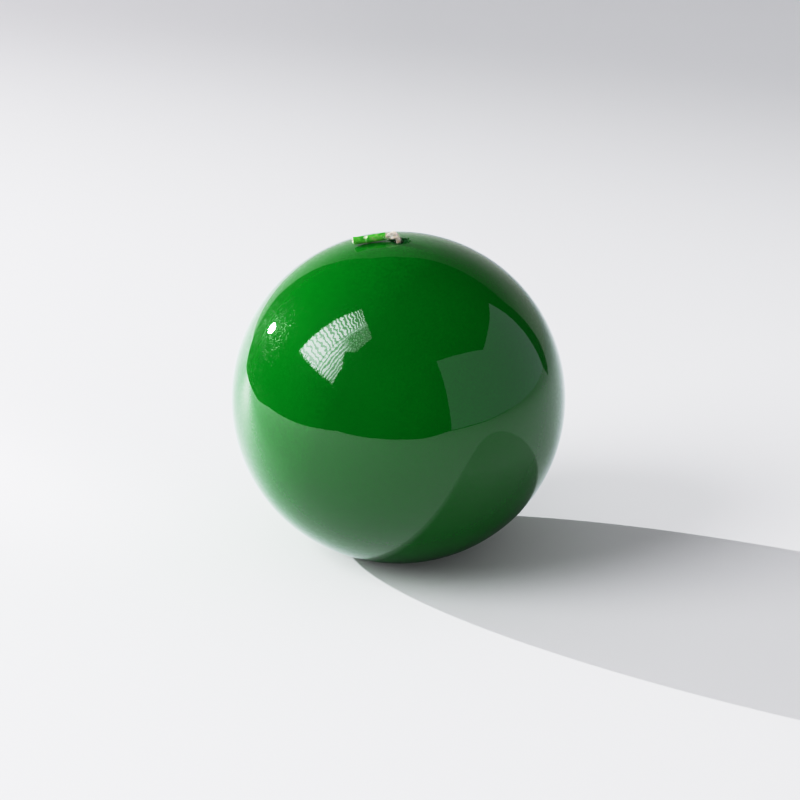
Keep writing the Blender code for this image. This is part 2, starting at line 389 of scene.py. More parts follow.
def build_core(material):
    inset = COAT_THICKNESS + FIT_GAP
    recess_radius = DISC_RADIUS + FIT_GAP
    neck_room = NECK_RADIUS + FIT_GAP
    room_top = NECK_TOP + FIT_GAP
    start = math.asin(CHANNEL_RADIUS / (BALL_RADIUS - inset))
    foot = angle_at_height(0.0, inset)
    profile = wall_points(inset, start, foot, 60)
    edge = profile[-1][0]
    profile += [(edge + (recess_radius - edge) * i / 40, 0.0) for i in range(1, 41)]
    profile += [(recess_radius - 0.1 * MM, 0.1 * MM), (recess_radius - 0.1 * MM, RECESS_DEPTH)]
    profile += [(neck_room + NECK_FLARE, RECESS_DEPTH), (neck_room, RECESS_DEPTH + NECK_FLARE)]
    profile += [(neck_room, room_top), (CHANNEL_RADIUS, room_top + NECK_FLARE)]
    mesh = lathe("core_body", profile, 180)
    for vertex in mesh.vertices:
        if vertex.co.z < 0.05 * MM:
            hollow = noise.noise(vertex.co / (1.2 * MM)) + 0.6 * noise.noise(vertex.co / (5.0 * MM))
            vertex.co.z += 0.06 * MM * max(0.0, hollow)
    smooth(mesh, 40)
    core = add_object("core_body", mesh, material)
    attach(core, "candle")
    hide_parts("wax_core")


CRIMP_HEIGHT = 0.5 * (SHOULDER_HEIGHT + NECK_TOP)
CRIMP_SPREAD = 1.4 * CRIMP_DEPTH
CRIMP_DENT = 0.10
NECK_ROWS = 60
STRAIGHT_ROWS = 55
RIB_HEIGHT = 0.05 * MM
RIB_STEPS = 12
RIM_INSET = 0.1 * MM
RIM_EDGE = 0.08 * MM


def pinch(height):
    """How far the crimp presses the neck in at a height."""
    return CRIMP_DEPTH * math.exp(-((height - CRIMP_HEIGHT) / CRIMP_SPREAD) ** 2)


def sustainer_profile():
    """The tin from the neck's top down its outside, over the ribbed disc and up the bore."""
    bore = NECK_RADIUS - NECK_WALL
    reach = DISC_RADIUS - NECK_RADIUS - NECK_FLARE - RIM_INSET
    wall = [NECK_TOP - NECK_HEIGHT * i / NECK_ROWS for i in range(STRAIGHT_ROWS)]
    ribs = [RIB_HEIGHT * math.sin(math.pi * i / 4) ** 2 for i in range(RIB_STEPS + 1)]
    outward = [reach * i / RIB_STEPS for i in range(RIB_STEPS + 1)]
    profile = [(NECK_RADIUS - pinch(z), z) for z in wall]
    profile += [(NECK_RADIUS + 0.15 * NECK_FLARE, SHOULDER_HEIGHT + 0.35 * NECK_FLARE)]
    profile += [(NECK_RADIUS + NECK_FLARE + out, SHOULDER_HEIGHT + rib) for out, rib in zip(outward, ribs)]
    profile += [(DISC_RADIUS, SHOULDER_HEIGHT - RIM_EDGE), (DISC_RADIUS, SUSTAINER_FOOT + RIM_EDGE)]
    profile += [(DISC_RADIUS - RIM_INSET - out, SUSTAINER_FOOT + rib)
                for out, rib in zip(outward, ribs[::-1])]
    profile += [(bore + NECK_FLARE, SUSTAINER_FOOT)]
    profile += [(bore + 0.15 * NECK_FLARE, SUSTAINER_FOOT + 0.35 * NECK_FLARE)]
    profile += [(bore - pinch(z), z) for z in wall[::-1]]
    return profile


def build_sustainer(material):
    mesh = lathe("sustainer_cup", sustainer_profile(), 96)
    for vertex in mesh.vertices:
        if vertex.co.z > SHOULDER_HEIGHT + NECK_FLARE:
            squeeze = pinch(vertex.co.z) / CRIMP_DEPTH
            angle = math.atan2(vertex.co.y, vertex.co.x)
            dent = CRIMP_DENT * squeeze * math.cos(4 * angle)
            vertex.co.x *= 1.0 + dent
            vertex.co.y *= 1.0 + dent
    smooth(mesh, 40)
    sustainer = add_object("sustainer_cup", mesh, material)
    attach(sustainer, "candle")
    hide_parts("wick_sustainer")


# ---------------------------------------------------------------- wick path
BEND_RADIUS = 1.45 * MM
FOLD_TURN = math.radians(98.6)
BEND_LENGTH = BEND_RADIUS * FOLD_TURN
BEND_START_HEIGHT = POLE_HEIGHT - 0.10 * MM
ROOT_DEPTH = 3.2 * MM
SLEEVE_GAP = 1.25 * MM
TIP_LENGTH = 9.15 * MM
BEND_MIDDLE = 0.5 * BEND_LENGTH
WICK_END = BEND_LENGTH + TIP_LENGTH
SLEEVE_START = BEND_LENGTH + SLEEVE_GAP
# Length along the wick from the foot of the sustainer to the bend, which sets the plait's phase.
PHASE_OFFSET = BEND_START_HEIGHT - 0.8 * MM

STRANDS = 3
SWAY = 0.50 * MM
CROSS = 0.30 * MM
PITCH = 7.5 * MM
YARNS = 5
YARN_RADIUS = 0.098 * MM
YARN_ORBIT = 0.125 * MM
YARN_PITCH = 2.6 * MM
# Between the mouth and the wax the yarns are frayed and stand apart.
FRAY = 1.5
FRAY_PLACE = 2.3 * MM
FRAY_SPREAD = 1.35 * MM
# The wax is cracked here, and the wick sags a little at the crack.
CRACK_PLACE = WICK_END - 3.05 * MM
SAG = 0.18 * MM


def wick_frame(along):
    """Place, heading and upper side of the wick's centre line, measured from the start of its bend."""
    bent = min(max(along, 0.0), BEND_LENGTH)
    turn = bent / BEND_RADIUS
    heading = Vector((-math.sin(turn), 0.0, math.cos(turn)))
    upper = Vector((math.cos(turn), 0.0, math.sin(turn)))
    place = Vector((0.0, 0.0, BEND_START_HEIGHT + min(along, 0.0)))
    place.x -= BEND_RADIUS * (1.0 - math.cos(turn))
    place.z += BEND_RADIUS * math.sin(turn)
    return place + heading * max(along - BEND_LENGTH, 0.0), heading, upper


def wick_point(along, across, lift):
    place, _, upper = wick_frame(along)
    before = (along - SLEEVE_START) / (CRACK_PLACE - SLEEVE_START)
    after = (WICK_END - along) / (WICK_END - CRACK_PLACE)
    sag = SAG * max(0.0, min(before, after))
    return place + Vector((0.0, across, 0.0)) + upper * (lift - sag)


def yarn_point(along, strand, yarn):
    """A point on one yarn: yarns wind round their strand, and strands weave round each other."""
    phase = math.tau * ((along + PHASE_OFFSET) / PITCH + strand / STRANDS)
    twist = math.tau * (along / YARN_PITCH + yarn / YARNS) + 1.3 * strand
    wander = noise.noise(Vector((along / (1.7 * MM), 7.3 * strand, 3.1 * yarn))) * 0.05 * MM
    loose = math.exp(-((along - FRAY_PLACE) / FRAY_SPREAD) ** 2)
    orbit = (YARN_ORBIT + wander) * (1.0 + FRAY * loose)
    across = SWAY * (1.0 + 0.25 * loose) * math.sin(phase) + orbit * math.cos(twist)
    lift = CROSS * (1.0 + 0.7 * loose) * math.sin(2 * phase) + orbit * math.sin(twist)
    return wick_point(along, across, lift)


# ---------------------------------------------------------------- swept tubes
def tube(points, radii, sides):
    """Vertices and faces of a closed tube along a path, with one radius for each point."""
    path = np.array([tuple(p) for p in points])
    tangent = np.gradient(path, axis=0)
    tangent /= np.linalg.norm(tangent, axis=1)[:, None]
    seed = np.array((0.0, 1.0, 0.0)) if abs(tangent[0][1]) < 0.9 else np.array((1.0, 0.0, 0.0))
    rows = []
    for place, heading, radius in zip(path, tangent, radii):
        seed = seed - heading * (seed @ heading)
        seed /= np.linalg.norm(seed)
        other = np.cross(heading, seed)
        for i in range(sides):
            angle = math.tau * i / sides
            rows.append(place + radius * (math.cos(angle) * seed + math.sin(angle) * other))
    faces = []
    for i in range(len(path) - 1):
        for j in range(sides):
            k = (j + 1) % sides
            faces.append((i * sides + j, i * sides + k, (i + 1) * sides + k, (i + 1) * sides + j))
    faces.append(tuple(range(sides))[::-1])
    last = (len(path) - 1) * sides
    faces.append(tuple(range(last, last + sides)))
    return np.array(rows), faces


def joined_mesh(name, parts):
    """One mesh from several (vertices, faces) parts."""
    vertices, faces = [], []
    for rows, part_faces in parts:
        start = len(vertices)
        vertices.extend(rows.tolist())
        faces.extend([tuple(start + i for i in face) for face in part_faces])
    mesh = bpy.data.meshes.new(name)
    mesh.from_pydata(vertices, [], faces)
    mesh.update()
    mesh.shade_smooth()
    return mesh


# ---------------------------------------------------------------- cotton wick
POINT_STEP = 0.10 * MM
YARN_SIDES = 7
FIBRE_POINTS = 8
FIBRE_ROOT = 0.45 * MM
FIBRE_THICK = 0.016
FIBRE_THIN = 0.007


def yarn_tubes(start, end, random):
    """All yarns of the plait between two lengths along the wick."""
    parts = []
    count = max(6, round((end - start) / POINT_STEP))
    for strand in range(STRANDS):
        for yarn in range(YARNS):
            ragged = end if end < WICK_END else end + random.uniform(-0.10, 0.30) * MM
            alongs = [start + (ragged - start) * i / count for i in range(count + 1)]
            points = [yarn_point(a, strand, yarn) for a in alongs]
            radii = [
                YARN_RADIUS * (1.0 + 0.4 * math.exp(-((a - FRAY_PLACE) / FRAY_SPREAD) ** 2)
                               + 0.3 * noise.noise(Vector((a / (0.30 * MM), strand, 5.0 * yarn))))
                for a in alongs
            ]
            parts.append(tube(points, radii, YARN_SIDES))
    return parts


def fuzz_fibres(start, end, count, random, longest=1.1):
    """Fine loose fibres that stand off the plait."""
    parts = []
    for _ in range(count):
        along = random.uniform(start, end)
        angle = random.uniform(0.0, math.tau)
        reach = random.uniform(0.35, longest) * MM
        drift = random.uniform(-1.0, 1.0) * MM
        curl = random.uniform(-2.2, 2.2)
        points = []
        for i in range(FIBRE_POINTS):
            share = i / (FIBRE_POINTS - 1)
            out = FIBRE_ROOT + reach * share * (1.0 - 0.35 * share)
            turned = angle + curl * share * share
            points.append(wick_point(
                along + drift * share * share, out * 1.35 * math.cos(turned), out * math.sin(turned)))
        parts.append(tube(points, np.linspace(FIBRE_THICK, FIBRE_THIN, FIBRE_POINTS) * MM, 4))
    return parts


def cotton_material():
    """Undyed cotton yarn with a fibrous bump and a soft sheen."""
    material, tree, output = new_material("wick_cotton")
    coords = node(tree, "ShaderNodeTexCoord").outputs["Object"]
    patches = node(tree, "ShaderNodeTexNoise", {"Vector": coords, "Scale": 900.0, "Detail": 3.0})
    colour = ramp(tree, patches.outputs["Fac"], [
        (0.30, (0.62, 0.50, 0.40, 1.0)),
        (0.55, (0.84, 0.77, 0.70, 1.0)),
        (0.75, (0.94, 0.92, 0.88, 1.0)),
    ])
    fibres = node(tree, "ShaderNodeTexNoise", {"Vector": coords, "Scale": 9000.0, "Detail": 4.0})
    bump = node(tree, "ShaderNodeBump", {
        "Height": fibres.outputs["Fac"], "Strength": 0.6, "Distance": 0.02 * MM})
    shader = node(tree, "ShaderNodeBsdfPrincipled", {
        "Base Color": colour,
        "Roughness": 0.85,
        "Specular IOR Level": 0.25,
        "Sheen Weight": 0.5,
        "Sheen Roughness": 0.4,
        "Normal": bump.outputs["Normal"],
        "Subsurface Weight": 0.15,
        "Subsurface Radius": (0.0003, 0.0002, 0.0001),
    })
    tree.links.new(shader.outputs["BSDF"], output.inputs["Surface"])
    return material


def build_plait(material):
    random = np.random.default_rng(11)
    start_place = wick_frame(0.05 * MM)[0]
    middle_place = wick_frame(BEND_MIDDLE)[0]
    end_place = wick_frame(BEND_LENGTH - 0.05 * MM)[0]
    lower = joined_mesh("wick_plait_lower", yarn_tubes(-ROOT_DEPTH, BEND_MIDDLE, random)
                        + fuzz_fibres(-0.2 * MM, BEND_MIDDLE - 0.2 * MM, 40, random, 0.9))
    plait = add_object("wick_plait_lower", lower, material)
    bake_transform(plait)
    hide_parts(*[f"wick_{part}_strand_{letter}" for part in ("root", "bend") for letter in "abc"])
    upper = joined_mesh("wick_plait_upper", yarn_tubes(BEND_MIDDLE, WICK_END, random)
                        + fuzz_fibres(BEND_MIDDLE + 0.1 * MM, SLEEVE_START + 0.2 * MM, 110, random, 0.9)
                        + fuzz_fibres(WICK_END - 0.1 * MM, WICK_END + 0.2 * MM, 12, random, 0.6))
    plait = add_object("wick_plait_upper", upper, material)
    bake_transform(plait)
    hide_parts(*[f"wick_tip_strand_{letter}" for letter in "abc"])


# ---------------------------------------------------------------- wax on the wick
SLEEVE_OUTER = 0.90 * MM
SLEEVE_INNER = 0.76 * MM
SLEEVE_TURNS = 56
SLEEVE_ROWS = 110
CRACK_WIDTH = 0.16 * MM
CHIP_RADIUS = 0.55 * MM


def sleeve_surface(along, angle):
    """Outer radius of the wax, and how bare (0 to 1) it is there."""
    place = Vector((along / (0.9 * MM), 1.1 * math.cos(angle), 1.1 * math.sin(angle)))
    radius = SLEEVE_OUTER
    radius += 0.045 * MM * noise.noise(place)
    radius += 0.018 * MM * noise.noise(place * 3.3)
    # The plait shows through the wax as soft slanting ridges.
    phase = math.tau * (along + PHASE_OFFSET) / PITCH
    radius += 0.022 * MM * math.cos(3.0 * (angle + phase))
    wander = 0.22 * MM * noise.noise(Vector((2.0 * math.cos(angle), 2.0 * math.sin(angle), 4.0)))
    from_crack = along - CRACK_PLACE - wander
    crack = math.exp(-((from_crack / CRACK_WIDTH) ** 2)) * (0.6 + 0.4 * math.sin(angle))
    chip_angle = (angle - math.radians(115) + math.pi) % math.tau - math.pi
    chip_place = Vector((from_crack / CHIP_RADIUS, chip_angle * SLEEVE_OUTER / CHIP_RADIUS, 0.0))
    reach = chip_place.length + 0.45 * noise.noise(Vector((along / (0.3 * MM), angle * 2.5, 9.0)))
    chip = min(max((1.0 - reach) * 4.0, 0.0), 1.0)
    ends = min(along - SLEEVE_START, WICK_END - along)
    rounding = min(1.0, max(0.0, 1.0 - ends / (0.26 * MM)))
    radius -= 0.07 * MM * crack + 0.075 * MM * chip + 0.06 * MM * rounding**2
    return max(radius, SLEEVE_INNER + 0.02 * MM), max(0.85 * chip, 0.6 * crack, rounding)


def ragged_edge(angle, seed):
    """How far the wax's broken end wanders at an angle round the wick."""
    return 0.16 * MM * noise.noise(Vector((1.8 * math.cos(angle), 1.8 * math.sin(angle), seed)))


def sleeve_points():
    """Points of the wax, the outside first and then the inside, and how bare each one is."""
    rows, bare = [], []
    for inside in (False, True):
        for i in range(SLEEVE_ROWS + 1):
            share = i / SLEEVE_ROWS
            for j in range(SLEEVE_TURNS):
                angle = math.tau * j / SLEEVE_TURNS
                start = SLEEVE_START + ragged_edge(angle, 1.0)
                end = WICK_END - 0.10 * MM + ragged_edge(angle, 2.0) * 0.6
                along = start + (end - start) * share
                radius, open_share = sleeve_surface(along, angle)
                if inside:
                    radius, open_share = SLEEVE_INNER, 1.0
                rows.append(tuple(wick_point(along, radius * math.cos(angle), radius * math.sin(angle))))
                bare.append(open_share)
    return rows, bare


def sleeve_faces():
    """Quads of the outside and the inside, and of the rings that close both ends."""
    faces = []
    count = SLEEVE_TURNS * (SLEEVE_ROWS + 1)
    for i in range(SLEEVE_ROWS):
        for j in range(SLEEVE_TURNS):
            k = (j + 1) % SLEEVE_TURNS
            a, b = i * SLEEVE_TURNS + j, i * SLEEVE_TURNS + k
            c, d = a + SLEEVE_TURNS, b + SLEEVE_TURNS
            faces += [(a, b, d, c), (count + b, count + a, count + c, count + d)]
    last = SLEEVE_ROWS * SLEEVE_TURNS
    for j in range(SLEEVE_TURNS):
        k = (j + 1) % SLEEVE_TURNS
        faces += [(k, j, count + j, count + k), (last + j, last + k, count + last + k, count + last + j)]
    return faces


def build_wax_sleeve(material):
    rows, bare = sleeve_points()
    mesh = bpy.data.meshes.new("wick_wax")
    mesh.from_pydata(rows, [], sleeve_faces())
    mesh.attributes.new("bare", "FLOAT", "POINT").data.foreach_set("value", bare)
    mesh.update()
    smooth(mesh, 50)
    sleeve = add_object("wick_wax", mesh, material)
    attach(sleeve, "wick_tip")
    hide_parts("wick_wax_sleeve")


def wick_wax_material():
    """Dipping wax drawn thin over cotton, pale where it is cracked or chipped."""
    material, tree, output = new_material("wick_green_wax")
    coords = node(tree, "ShaderNodeTexCoord").outputs["Object"]
    cloudy = node(tree, "ShaderNodeTexNoise", {
        "Vector": coords, "Scale": 750.0, "Detail": 5.0, "Roughness": 0.65, "Distortion": 0.4})
    wax = ramp(tree, cloudy.outputs["Fac"], [
        (0.30, (0.020, 0.200, 0.016, 1.0)),
        (0.46, (0.045, 0.330, 0.024, 1.0)),
        (0.56, (0.090, 0.420, 0.034, 1.0)),
        (0.64, (0.220, 0.360, 0.120, 1.0)),
        (0.74, (0.300, 0.620, 0.170, 1.0)),
    ])
    bare = node(tree, "ShaderNodeAttribute", attribute_name="bare").outputs["Fac"]
    colour = node(tree, "ShaderNodeMix", {0: bare, 6: wax, 7: (0.58, 0.74, 0.48, 1.0)}, data_type="RGBA")
    grain = node(tree, "ShaderNodeTexNoise", {"Vector": coords, "Scale": 5200.0, "Detail": 3.0})
    bump = node(tree, "ShaderNodeBump", {
        "Height": grain.outputs["Fac"], "Strength": 0.5, "Distance": 0.03 * MM})
    rough = node(tree, "ShaderNodeMapRange", {"Value": bare, 3: 0.28, 4: 0.75})
    shader = node(tree, "ShaderNodeBsdfPrincipled", {
        "Base Color": colour.outputs[2],
        "Roughness": rough.outputs["Result"],
        "Specular IOR Level": 0.5,
        "Normal": bump.outputs["Normal"],
        "Subsurface Weight": 0.25,
        "Subsurface Radius": (0.0002, 0.0005, 0.0002),
    })
    tree.links.new(shader.outputs["BSDF"], output.inputs["Surface"])
    return material


# ---------------------------------------------------------------- studio
FLOOR_HALF = 6.0
AMBIENT = 0.43
BACKGROUND_LEVEL = 0.80
BOUNCE = 0.36
GLINT_ROLL = 36.0
KEY_AZIMUTH = 151.8
KEY_ELEVATION = 18.4
KEY_DISTANCE = 2.8
KEY_BEAM = 20.0
KEY_POWER = 482.0
KEY_TARGET = (-0.09, -0.01, 0.0)
LAMP_DISTANCE = 1.6
# The sheen that the key lamp leaves on the table: a wide part, and a streak along one azimuth.
BROAD_SHEEN = 3.0
SHEEN_START = Vector((-0.062, -0.003, 0.0))
SHEEN_AZIMUTH = 142.0
SHEEN_RISE = 15.0
SHEEN_LIMIT = 2.6
SHEEN_WIDTH = 0.030
SHEEN_COLOUR = (0.97, 0.86, 0.98, 1.0)
SOFTBOX_COLOUR = (0.95, 0.82, 1.02, 1.0)
CARD_COLOUR = (0.92, 1.0, 1.20, 1.0)
CARD_STRENGTH = 0.64
TABLE_LIFT = 0.02 * MM
FILM_WHITE = 2.0
FILM_RESPONSE = [
    (0.0, 0.0), (0.1, 0.07), (0.2, 0.16), (0.3, 0.28), (0.4, 0.41), (0.5, 0.53), (0.6, 0.63),
    (0.74, 0.73), (0.85, 0.79), (1.0, 0.85), (1.3, 0.93), (2.0, 1.0),
]
# The lit part of the table that the varnish mirrors, seen from above.
TABLE_OUTLINE = [
    (-0.39, -0.46), (0.14, -0.44), (0.47, -0.72), (1.24, -0.23), (1.24, 0.79), (0.38, 0.25),
    (0.48, 0.36), (1.05, 0.90), (-0.76, 0.90), (-0.31, 0.26), (-0.33, 0.17), (-0.32, 0.08),
    (-0.38, 0.02), (-0.37, -0.16),
]

# The backdrop seen from the front, as (across, height) points of a rough arch.
BACKDROP_PLACE = 0.90
BACKDROP_ARCH = [
    (-0.76, 0.0), (1.05, 0.0), (1.01, 0.11), (1.02, 0.38), (1.01, 0.66), (0.86, 0.77), (0.63, 0.87),
    (0.05, 0.99), (-0.23, 0.92), (-0.41, 0.59), (-0.54, 0.18),
]


def glossy_only(obj):
    obj.visible_camera = False
    obj.visible_diffuse = False
    obj.visible_shadow = False
    obj.visible_transmission = False


def polygon(name, points, material):
    mesh = bpy.data.meshes.new(name)
    mesh.from_pydata([tuple(p) for p in points], [], [tuple(range(len(points)))])
    mesh.update()
    obj = add_object(name, mesh, material)
    return obj


def glow(name, strength, colour):
    material, tree, output = new_material(name)
    shader = node(tree, "ShaderNodeEmission", {"Color": colour, "Strength": strength})
    tree.links.new(shader.outputs["Emission"], output.inputs["Surface"])
    return material


def paper_floor():
    """Smooth pale paper, clear from below. It throws less light back on the candle than real paper."""
    material, tree, output = new_material("paper_floor")
    bounce = node(tree, "ShaderNodeLightPath").outputs["Is Diffuse Ray"]
    colour = node(tree, "ShaderNodeMix", {
        0: bounce, 6: (0.775, 0.775, 0.805, 1.0), 7: grey(BOUNCE)}, data_type="RGBA")
    shader = node(tree, "ShaderNodeBsdfPrincipled", {
        "Base Color": colour.outputs[2],
        "Roughness": 0.32,
        "Specular IOR Level": 0.35,
    })
    clear = node(tree, "ShaderNodeBsdfTransparent")
    backfacing = node(tree, "ShaderNodeNewGeometry").outputs["Backfacing"]
    mix = node(tree, "ShaderNodeMixShader", {
        0: backfacing, 1: shader.outputs["BSDF"], 2: clear.outputs["BSDF"]})
    tree.links.new(mix.outputs["Shader"], output.inputs["Surface"])
    return material


def distance_along(tree, coords, azimuth, start=Vector((0.0, 0.0, 0.0))):
    """How far a point on the table lies from a start, measured towards one azimuth."""
    turn = math.radians(azimuth)
    axis = Vector((math.cos(turn), math.sin(turn), 0.0))
    reach = node(tree, "ShaderNodeVectorMath", {0: coords, 1: axis}, operation="DOT_PRODUCT")
    return maths(tree, "SUBTRACT", reach.outputs["Value"], start.dot(axis))


def bell(tree, value, width):
    """A bell curve: 1 at zero, falling off over a width."""
    share = maths(tree, "DIVIDE", maths(tree, "ABSOLUTE", value), width)
    return maths(tree, "EXPONENT", maths(tree, "MULTIPLY", maths(tree, "POWER", share, 2.0), -1.0))


def lamp_sheen(tree, coords):
    """Strength of the key lamp's sheen on the table."""
    split = node(tree, "ShaderNodeSeparateXYZ", {"Vector": coords}).outputs
    left = maths(tree, "MAXIMUM", maths(tree, "MULTIPLY", split["X"], -1.0), 0.0)
    rear = node(tree, "ShaderNodeMapRange", {"Value": split["Y"], 1: -0.21, 2: 0.06, 3: 0.5, 4: 1.0})
    broad = maths(tree, "MULTIPLY", maths(tree, "MULTIPLY", left, BROAD_SHEEN), rear.outputs["Result"])
    along = distance_along(tree, coords, SHEEN_AZIMUTH, SHEEN_START)
    across = distance_along(tree, coords, SHEEN_AZIMUTH - 90, SHEEN_START)
    rise = maths(tree, "MULTIPLY_ADD", along, SHEEN_RISE, 0.2)
    rise = maths(tree, "MINIMUM", maths(tree, "MAXIMUM", rise, 0.0), SHEEN_LIMIT)
    streak = maths(tree, "MULTIPLY", rise, bell(tree, across, SHEEN_WIDTH))
    return maths(tree, "ADD", broad, streak)


def contact_shade(tree, coords):
    """How dark (0 to 1) the paper is: beside the contact, inside the oval of the cast shadow."""
    reach = node(tree, "ShaderNodeVectorMath", {0: coords}, operation="LENGTH").outputs["Value"]
    near = ramped(tree, reach, 0.090, 0.034)
    behind = distance_along(tree, coords, KEY_AZIMUTH + 180)
    beside = distance_along(tree, coords, KEY_AZIMUTH - 90)
    rise = math.radians(KEY_ELEVATION)
    half_length = BALL_RADIUS / math.sin(rise)
    middle = CENTRE_HEIGHT / math.tan(rise)
    lengthwise = maths(tree, "DIVIDE", maths(tree, "SUBTRACT", behind, middle), half_length)
    crosswise = maths(tree, "DIVIDE", beside, BALL_RADIUS)
    oval = maths(tree, "ADD", maths(tree, "MULTIPLY", lengthwise, lengthwise),
                 maths(tree, "MULTIPLY", crosswise, crosswise))
    return maths(tree, "MULTIPLY", near, ramped(tree, oval, 1.0, 0.93))


def matt_paper():
    """The table as the varnish mirrors it, with the key lamp's sheen and the shade at the contact."""
    material, tree, output = new_material("matt_paper")
    coords = node(tree, "ShaderNodeTexCoord").outputs["Object"]
    paper = node(tree, "ShaderNodeMix", {
        0: contact_shade(tree, coords), 6: (0.77, 0.81, 0.86, 1.0), 7: (0.16, 0.20, 0.19, 1.0)},
        data_type="RGBA")
    shader = node(tree, "ShaderNodeBsdfDiffuse", {"Color": paper.outputs[2]})
    lit = node(tree, "ShaderNodeEmission", {
        "Color": SHEEN_COLOUR, "Strength": lamp_sheen(tree, coords)})
    both = node(tree, "ShaderNodeAddShader", {0: shader.outputs["BSDF"], 1: lit.outputs["Emission"]})
    tree.links.new(both.outputs["Shader"], output.inputs["Surface"])
    return material


def backdrop_glow():
    """A backdrop lit from below and from the left, darkest at the top of its arch."""
    material, tree, output = new_material("backdrop_glow")
    coords = node(tree, "ShaderNodeTexCoord").outputs["Object"]
    split = node(tree, "ShaderNodeSeparateXYZ", {"Vector": coords}).outputs
    across = node(tree, "ShaderNodeMapRange", {"Value": split["X"], 1: -0.5, 2: 0.5, 3: 0.92, 4: 0.46})
    height = ramp(tree, split["Z"], [
        (0.0, grey(1.0)), (0.15, grey(0.88)), (0.32, grey(0.72)), (0.50, grey(0.42)), (0.75, grey(0.22))])
    level = maths(tree, "MULTIPLY", across.outputs["Result"], height)
    lit = node(tree, "ShaderNodeEmission", {"Strength": level})
    tree.links.new(lit.outputs["Emission"], output.inputs["Surface"])
    return material


def cell_walls(tree, along, count, share, softness):
    """Dark walls between bright cells: count cells over the length, and a share of each is wall."""
    peak = maths(tree, "PINGPONG", maths(tree, "MULTIPLY", along, count), 0.5)
    open_part = maths(tree, "SUBTRACT", maths(tree, "MULTIPLY", peak, 2.0), share)
    return maths(tree, "DIVIDE", open_part, softness, clamp=True)


def wall_share(tree, along, middle, least, slope):
    """Walls look wider away from the middle, where a cell points at the candle."""
    away = maths(tree, "ABSOLUTE", maths(tree, "SUBTRACT", along, middle))
    return maths(tree, "ADD", maths(tree, "MULTIPLY", away, slope), least)


def grid_light(tree, uv, u, v, fine):
    """Light through the folded grid: columns above the fold, rows below it, crumpled in one corner."""
    wobble = node(tree, "ShaderNodeTexNoise", {"Vector": uv, "Scale": 9.0, "Detail": 4.0})
    shift = maths(tree, "MULTIPLY", maths(tree, "SUBTRACT", wobble.outputs["Fac"], 0.5), 0.13)
    columns = cell_walls(
        tree, maths(tree, "ADD", u, shift), 17.0, wall_share(tree, u, 0.12, 0.14, 0.46), 0.30)
    rows = cell_walls(
        tree, maths(tree, "ADD", v, shift), 14.0, wall_share(tree, v, 0.36, 0.04, 0.62), 0.36)
    upper = ramped(tree, v, 0.58, 0.42)
    lower = maths(tree, "SUBTRACT", 1.0, upper)
    columns = maths(tree, "MAXIMUM", columns, ramped(tree, u, 0.9, -0.6))
    columns = maths(tree, "MAXIMUM", columns, maths(tree, "MULTIPLY", lower, 0.9))
    rows = maths(tree, "MAXIMUM", rows, maths(tree, "MAXIMUM", upper, 0.30))
    grid = maths(tree, "MULTIPLY", columns, rows)
    crumpled = maths(tree, "MULTIPLY", ramped(tree, v, 0.48, 0.60), ramped(tree, u, 0.40, 0.58))
    speckle = maths(tree, "MULTIPLY", maths(tree, "MULTIPLY", ramped(tree, fine, 0.50, 0.66), crumpled), 0.55)
    smooth_part = maths(tree, "MULTIPLY", grid, maths(tree, "SUBTRACT", 1.0, crumpled))
    return maths(tree, "ADD", smooth_part, speckle)


def softbox_edge(tree, u, v, fine):
    """1 inside the softbox and 0 past its ragged edge, which has a notch where the grid is folded."""
    notch = maths(tree, "MULTIPLY", bell(tree, maths(tree, "SUBTRACT", u, 0.42), 0.11), 0.19)
    far = maths(tree, "SUBTRACT", maths(tree, "SUBTRACT", 1.0, v), notch)
    margin = maths(tree, "MINIMUM", maths(tree, "MINIMUM", u, maths(tree, "SUBTRACT", 1.0, u)),
                   maths(tree, "MINIMUM", v, far))
    ragged = maths(tree, "MULTIPLY", maths(tree, "SUBTRACT", fine, 0.55), 0.14)
    return ramped(tree, maths(tree, "ADD", margin, ragged), 0.0, 0.03)


def softbox_glow():
    """A softbox seen through its folded honeycomb grid: bright where a cell points at the candle."""
    material, tree, output = new_material("softbox_glow")
    uv = node(tree, "ShaderNodeUVMap", uv_map="softbox").outputs["UV"]
    split = node(tree, "ShaderNodeSeparateXYZ", {"Vector": uv}).outputs
    u, v = split["X"], split["Y"]
    fine = node(tree, "ShaderNodeTexNoise", {"Vector": uv, "Scale": 34.0, "Detail": 2.0}).outputs["Fac"]
    fade = maths(tree, "SUBTRACT", 1.0, maths(tree, "MULTIPLY", maths(tree, "MULTIPLY", u, u), 0.42))
    fade = maths(tree, "MULTIPLY", fade, ramped(tree, v, 1.5, 0.5))
    edge = softbox_edge(tree, u, v, fine)
    lit = maths(tree, "MULTIPLY", maths(tree, "MULTIPLY", grid_light(tree, uv, u, v, fine), fade), edge)
    strength = maths(tree, "ADD", maths(tree, "MULTIPLY", lit, 13.0), maths(tree, "MULTIPLY", edge, 1.2))
    glowing = node(tree, "ShaderNodeEmission", {"Color": SOFTBOX_COLOUR, "Strength": strength})
    tree.links.new(glowing.outputs["Emission"], output.inputs["Surface"])
    return material


def look_at(obj, target):
    direction = Vector(target) - obj.location
    obj.rotation_euler = direction.to_track_quat("-Z", "Y").to_euler()


def add_lamp(name, kind, place, target, power):
    light = bpy.data.lights.new(name, kind)
    light.energy = power
    obj = bpy.data.objects.new(name, light)
    obj.location = place
    look_at(obj, target)
    bpy.context.scene.collection.objects.link(obj)
    obj.visible_glossy = False
    obj.visible_camera = False
    return obj


def polar(azimuth, elevation, distance):
    """A place seen from the ball's centre, with azimuth 0 at +X and 90 at +Y."""
    a, e = math.radians(azimuth), math.radians(elevation)
    aim = Vector((math.cos(a) * math.cos(e), math.sin(a) * math.cos(e), math.sin(e)))
    return CENTRE + aim * distance


